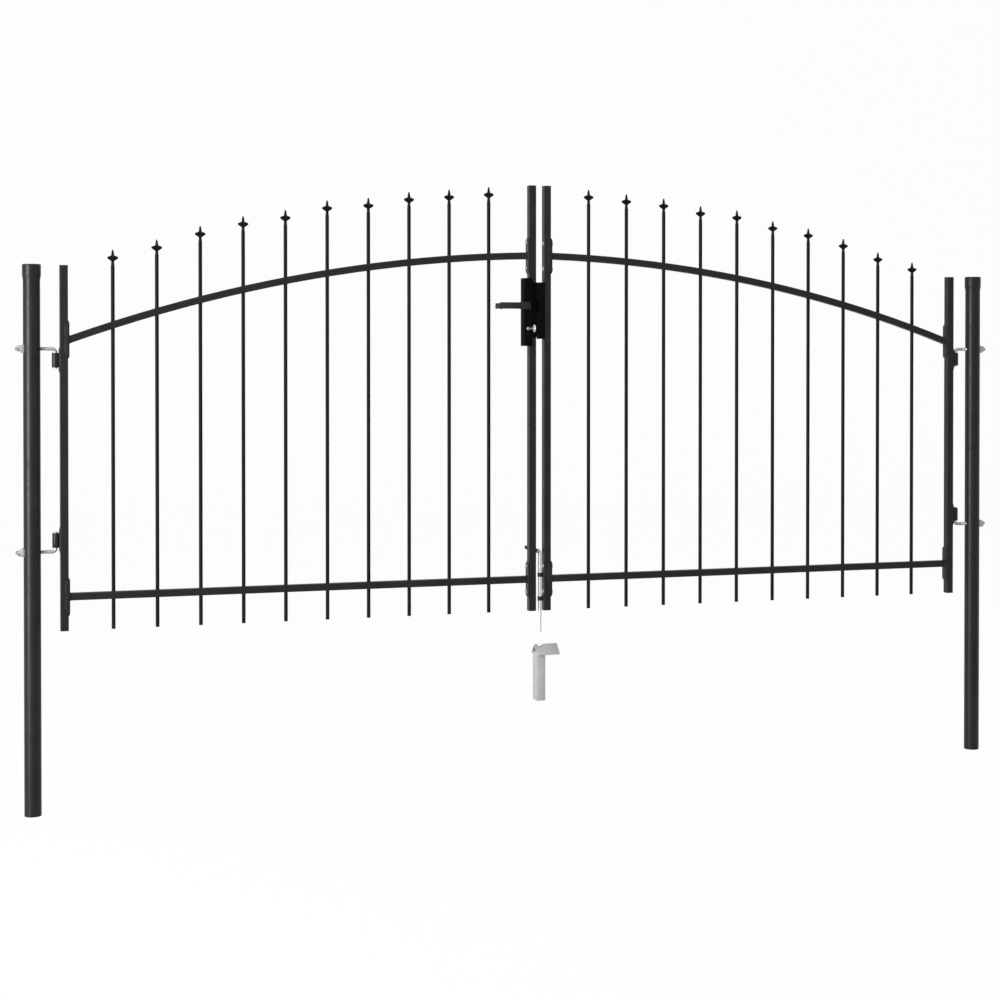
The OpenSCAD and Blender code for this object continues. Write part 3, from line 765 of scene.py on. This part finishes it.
# Bracket bolts: zinc-plated bolts hold the rail brackets on the two stiles at the middle of the gate.
# A hex nut sits on each bracket, and the flat round head shows in the gap between the leaves.
def bracket_bolt_pattern():
    grip = 0.0255
    small_nut_flats = 0.013
    small_nut_thick = 0.004
    thread_radius = 0.0032
    root_radius = 0.0027
    thread_pitch = 0.001
    thread_end = 0.005
    builder = hex_nut(small_nut_flats, small_nut_thick, 2 * root_radius, 48)
    profile = [(0, -0.0005), (root_radius, -0.0005)]
    for turn_index in range(5):
        profile.append((thread_radius, turn_index * thread_pitch))
        profile.append((root_radius, (turn_index + 0.5) * thread_pitch))
    stub = turned(profile + [(root_radius, thread_end), (0, thread_end)], 20)
    turned(
        [
            (0, -grip - 0.0010), (0.0040, -grip - 0.0010), (0.0056, -grip - 0.0008),
            (0.0063, -grip - 0.0004), (0.0065, -grip), (0, -grip)
        ],
        36, stub
    )
    mesh = mesh_from("bolt_stub", stub)
    mesh.transform(Matrix.Rotation(math.pi / 2, 4, "Y"))
    builder.from_mesh(mesh)
    bpy.data.meshes.remove(mesh)
    return pattern("bracket_bolt_pattern", builder)


bracket_bolt = bracket_bolt_pattern()
bolt_reach = 0.0045
for side, facing in (("left", -1), ("right", 1)):
    places = []
    for low, high in loose_parts(f"{side}_bracket_bolts"):
        seat = high.x - bolt_reach if facing > 0 else low.x + bolt_reach
        turn = 0 if facing > 0 else math.pi
        places.append(((seat, 0, (low.z + high.z) / 2), (0, 0, turn)))
    bolts = row_of(bracket_bolt, places, zinc_plate)
    piece = settle(f"{side}_flat_head_bolts", bolts, zinc_plate, f"{side}_leaf")
    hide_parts(f"{side}_bracket_bolts")


# Lock case and keep: folded and welded sheet boxes on the two stiles at the middle.
# A dead matt black, with a fine grain and rounded folds.
lock_coat = coated_steel(
    "lock_black_coat", dark=(0.0015, 0.0015, 0.0016), light=(0.0027, 0.0027, 0.0028),
    rough=(0.64, 0.76), gloss=0.03, peel_scale=900, peel=0.25
)
eased("lock_case", "folded_lock_case", 0.0010, 3, lock_coat, "left_leaf")
eased("lock_keep", "folded_lock_keep", 0.0010, 3, lock_coat, "right_leaf")


# Lever: a flat cast handle on a round spindle, sprung back to level.
# Coated a flat black, a shade lighter than the lock, on softly rounded edges.
lever_coat = coated_steel(
    "lever_black_coat", dark=(0.017, 0.017, 0.0172), light=(0.024, 0.024, 0.0243),
    rough=(0.55, 0.68), gloss=0.05, peel_scale=700, peel=0.2
)
lever_low, lever_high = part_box("lever_handle")
lever_z = (lever_low.z + lever_high.z) / 2
lever_root = 0.034
grip_end_x = lever_high.x - lever_root
grip_edge = 0.0075
grip_half = 0.0094
return_stretch = 1.2
return_drop = 0.0011


def fuller_grip(point):
    offset = point.z - lever_z
    if point.x > grip_end_x:
        return point
    if abs(offset) > grip_edge:
        return Vector((point.x, point.y, lever_z + math.copysign(grip_half, offset)))
    return Vector((point.x, point.y, lever_z + offset * return_stretch - return_drop))


eased(
    "lever_handle", "cast_lever_handle", 0.0016, 3, lever_coat, "lever", fuller_grip
)
finish_node("lever_spindle", zinc_plate)


# Key and cylinder: a dark profile cylinder with a nickel-plated plug and its key.
# The key is stamped from sheet, with a round bow and a ring hole.
def nickel(name):
    material, tree, shader = new_material(name)
    cloud = object_noise(tree, scale=260, detail=3)
    colour = ramp_between(
        tree, cloud.outputs["Fac"], low=0.3, high=0.7, dark=(0.48, 0.47, 0.455), light=(0.6, 0.59, 0.58)
    )
    tree.links.new(colour, shader.inputs["Base Color"])
    roughness = rescale(tree, cloud.outputs["Fac"], low=0.18, high=0.3)
    tree.links.new(roughness, shader.inputs["Roughness"])
    shader.inputs["Metallic"].default_value = 1.0
    bump_from(tree, cloud.outputs["Fac"], strength=0.06, depth=0.0002, shader=shader)
    return material


nickel_plate = nickel("nickel_plate")
eased("lock_cylinder", "profile_cylinder", 0.0004, 2, lock_coat, "left_leaf")
finish_node("lock_plug", nickel_plate)
eased("key", "stamped_key", 0.0004, 2, nickel_plate, "key")


# Drop bolt: a bent round bar that slides in two strap eyes welded to the right leaf's lock stile.
# The bar is zinc-plated with its handle dipped in black, and the eyes are coated with the leaf.
bright_zinc = zinc_steel(
    "bright_zinc_steel", dark=(0.50, 0.505, 0.51), light=(0.62, 0.625, 0.63),
    rough=(0.42, 0.54), cells=900, metal=0.4
)
finish_node("drop_bolt", bright_zinc)
bolt_low, bolt_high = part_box("drop_bolt")
bolt_x = (bolt_low.x + bolt_high.x) / 2
handle_z = bolt_high.z - bolt_radius
grip_start_y = 0.0125
grip = turned(
    [
        (0, 0.1177), (0.0035, 0.1165), (0.00505, 0.1130), (0.00505, 0), (0.0056, 0), (0.0061, 0.0006),
        (0.0061, 0.1140), (0.0057, 0.1162), (0.0045, 0.1177), (0.0025, 0.1185), (0, 0.1188)
    ],
    28
)
bmesh.ops.rotate(grip, verts=grip.verts, matrix=Matrix.Rotation(-math.pi / 2, 3, "X"))
bmesh.ops.translate(grip, verts=grip.verts, vec=(bolt_x, grip_start_y, handle_z))
dip_coat = coated_steel(
    "black_dip_coat", dark=(0.004, 0.004, 0.004), light=(0.0065, 0.0065, 0.0065),
    rough=(0.5, 0.62), gloss=0.15, peel_scale=240, peel=0.2
)
piece = new_piece("dipped_handle_grip", grip, dip_coat, "drop_bolt")
smooth_by_angle(piece.data, 40)


def strap_line(radius, end_x, height):
    line = [(end_x, radius, height)]
    for step in range(17):
        angle = math.pi * (0.5 + step / 16)
        line.append((bolt_x + radius * math.cos(angle), radius * math.sin(angle), height))
    return line + [(end_x, -radius, height)]


strap_inner = 0.0052
strap_edge = 0.0064
strap_outer = 0.0067
strap_ease = 0.0003


def strap_eye(builder, end_x, low_z, high_z):
    lines = []
    for radius, height in (
        (strap_inner, low_z), (strap_edge, low_z), (strap_outer, low_z + strap_ease),
        (strap_outer, high_z - strap_ease), (strap_edge, high_z), (strap_inner, high_z)
    ):
        lines.append([builder.verts.new(point) for point in strap_line(radius, end_x, height)])
    for line, after in zip(lines, lines[1:] + lines[:1]):
        for index in range(len(line) - 1):
            builder.faces.new((line[index], line[index + 1], after[index + 1], after[index]))
    for index in (0, -1):
        builder.faces.new([line[index] for line in lines])


stile_face_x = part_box("right_lock_stile")[0].x
eye_bead_radius = 0.0010
eyes = bmesh.new()
loops = []
for low, high in loose_parts("drop_bolt_guides"):
    strap_eye(eyes, stile_face_x + 0.0002, low.z, high.z)
    loops.append(loop_across(stile_face_x - 0.0003, strap_outer, low.z, high.z, 0.001))
piece = new_piece("pressed_guide_eyes", eyes, powder_coat, "right_leaf")
smooth_by_angle(piece.data, 35)
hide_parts("drop_bolt_guides")
beads("guide_eye_welds", [], loops, eye_bead_radius, powder_coat, "right_leaf")


# Ground stop: a hollow stake under a folded roof with a hole for the drop bolt.
# Welded together, then hot-dip galvanised to an even dull grey with a faint spangle.
galvanised = zinc_steel(
    "galvanised_steel", dark=(0.317, 0.320, 0.324), light=(0.349, 0.353, 0.356),
    rough=(0.45, 0.6), cells=130, metal=0.1
)
eased("ground_stop_stake", "galvanised_stake", 0.0008, 2, galvanised, "root")
eased("ground_stop_roof", "galvanised_roof", 0.0008, 2, galvanised, "root")
stake_low, stake_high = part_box("ground_stop_stake")
stop_bead_radius = 0.0016
weld_inset = 0.002
weld_start = stake_low.x + weld_inset
weld_end = stake_high.x - weld_inset
paths = []
for y in (stake_low.y, stake_high.y):
    paths.append([(weld_start, y, stake_high.z), (weld_end, y, stake_high.z)])
beads("ground_stop_welds", paths, [], stop_bead_radius, galvanised, "root")


# Studio: a seamless floor and backdrop, a tall softbox left of the camera with a low one under it,
# a wide dim one above and a weak sky. Floor, backdrop and sky are drawn white to the camera and in
# reflections, and the floor keeps a soft shadow.
def seamless_floor():
    front_y = -14
    bend_y = 9
    bend = 3
    top_z = 14
    sides = (-24, 30)
    below_feet = 0.0005
    builder = bmesh.new()
    rows = [(front_y, 0), (bend_y, 0)]
    for step in range(1, 13):
        angle = math.pi / 2 * step / 12
        rows.append((bend_y + bend * math.sin(angle), bend - bend * math.cos(angle)))
    rows.append((bend_y + bend, top_z))
    verts = [[builder.verts.new((x, y, z - below_feet)) for x in sides] for y, z in rows]
    for low, high in zip(verts, verts[1:]):
        builder.faces.new((low[0], low[1], high[1], high[0]))
    mesh = bpy.data.meshes.new("studio_floor")
    builder.to_mesh(mesh)
    builder.free()
    mesh.shade_smooth()
    return bpy.data.objects.new("studio_floor", mesh)


floor_material, floor_tree, floor_shader = new_material("studio_floor_white")
floor_shader.inputs["Base Color"].default_value = (0.86, 0.86, 0.86, 1)
floor_shader.inputs["Roughness"].default_value = 0.9
floor_shader.inputs["Specular IOR Level"].default_value = 0.0
glow = floor_tree.nodes.new("ShaderNodeEmission")
glow.inputs["Color"].default_value = (1, 1, 1, 1)
glow.inputs["Strength"].default_value = 1.0


def seen_rays(tree):
    rays = tree.nodes.new("ShaderNodeLightPath")
    seen = calculate(tree, "MAXIMUM", rays.outputs["Is Camera Ray"], rays.outputs["Is Glossy Ray"])
    return calculate(tree, "MAXIMUM", seen, rays.outputs["Is Transmission Ray"])


white_share = 0.96
blend = floor_tree.nodes.new("ShaderNodeMixShader")
white_part = calculate(floor_tree, "MULTIPLY", seen_rays(floor_tree), white_share)
floor_tree.links.new(white_part, blend.inputs["Fac"])
floor_tree.links.new(floor_shader.outputs["BSDF"], blend.inputs[1])
floor_tree.links.new(glow.outputs["Emission"], blend.inputs[2])
floor_tree.links.new(blend.outputs["Shader"], floor_tree.nodes["Material Output"].inputs["Surface"])
floor = seamless_floor()
floor.data.materials.append(floor_material)
scene.collection.objects.link(floor)

weak_sky = 0.42
seen_sky_extra = 0.58
world = bpy.data.worlds.new("studio_sky")
world.use_nodes = True
world.node_tree.nodes["Background"].inputs["Color"].default_value = (1, 1, 1, 1)
sky_level = calculate(world.node_tree, "MULTIPLY", seen_rays(world.node_tree), seen_sky_extra)
sky_level = calculate(world.node_tree, "ADD", sky_level, weak_sky)
world.node_tree.links.new(sky_level, world.node_tree.nodes["Background"].inputs["Strength"])
scene.world = world

gate_middle = Vector((1.452, 0, 0.95))
left_post_low = Vector((0, 0, 0.3))


def softbox(name, place, aim, width, height, power):
    lamp = bpy.data.lights.new(name, "AREA")
    lamp.shape = "RECTANGLE"
    lamp.size = width
    lamp.size_y = height
    lamp.energy = power
    holder = bpy.data.objects.new(name, lamp)
    holder.location = place
    holder.rotation_euler = (Vector(aim) - Vector(place)).to_track_quat("-Z", "Y").to_euler()
    scene.collection.objects.link(holder)


softbox("key_softbox", (-3.9, -2.9, 1.9), gate_middle, width=1.2, height=3.2, power=385)
softbox("top_softbox", (1.4, -3.0, 5.0), gate_middle, width=5.0, height=3.0, power=75)
softbox("low_softbox", (-3.9, -2.9, 0.4), left_post_low, width=1.2, height=0.7, power=105)


# Camera: at the photograph's place, a little lower than the lock and left of the gate's left post.
# It looks almost level, and the lens is shifted to frame the gate.
focal_ratio = 1.87985
tilt_down = 0.701
turn_right = 17.414
view = bpy.data.cameras.new("photo_camera")
view.sensor_width = 36
view.sensor_fit = "HORIZONTAL"
view.lens = 36 * focal_ratio
view.shift_y = -0.1245
view.clip_end = 100
camera = bpy.data.objects.new("photo_camera", view)
camera.location = (-0.3141, -5.24707, 1.25996)
camera.rotation_euler = (math.radians(90 - tilt_down), 0, math.radians(-turn_right))
scene.collection.objects.link(camera)
scene.camera = camera
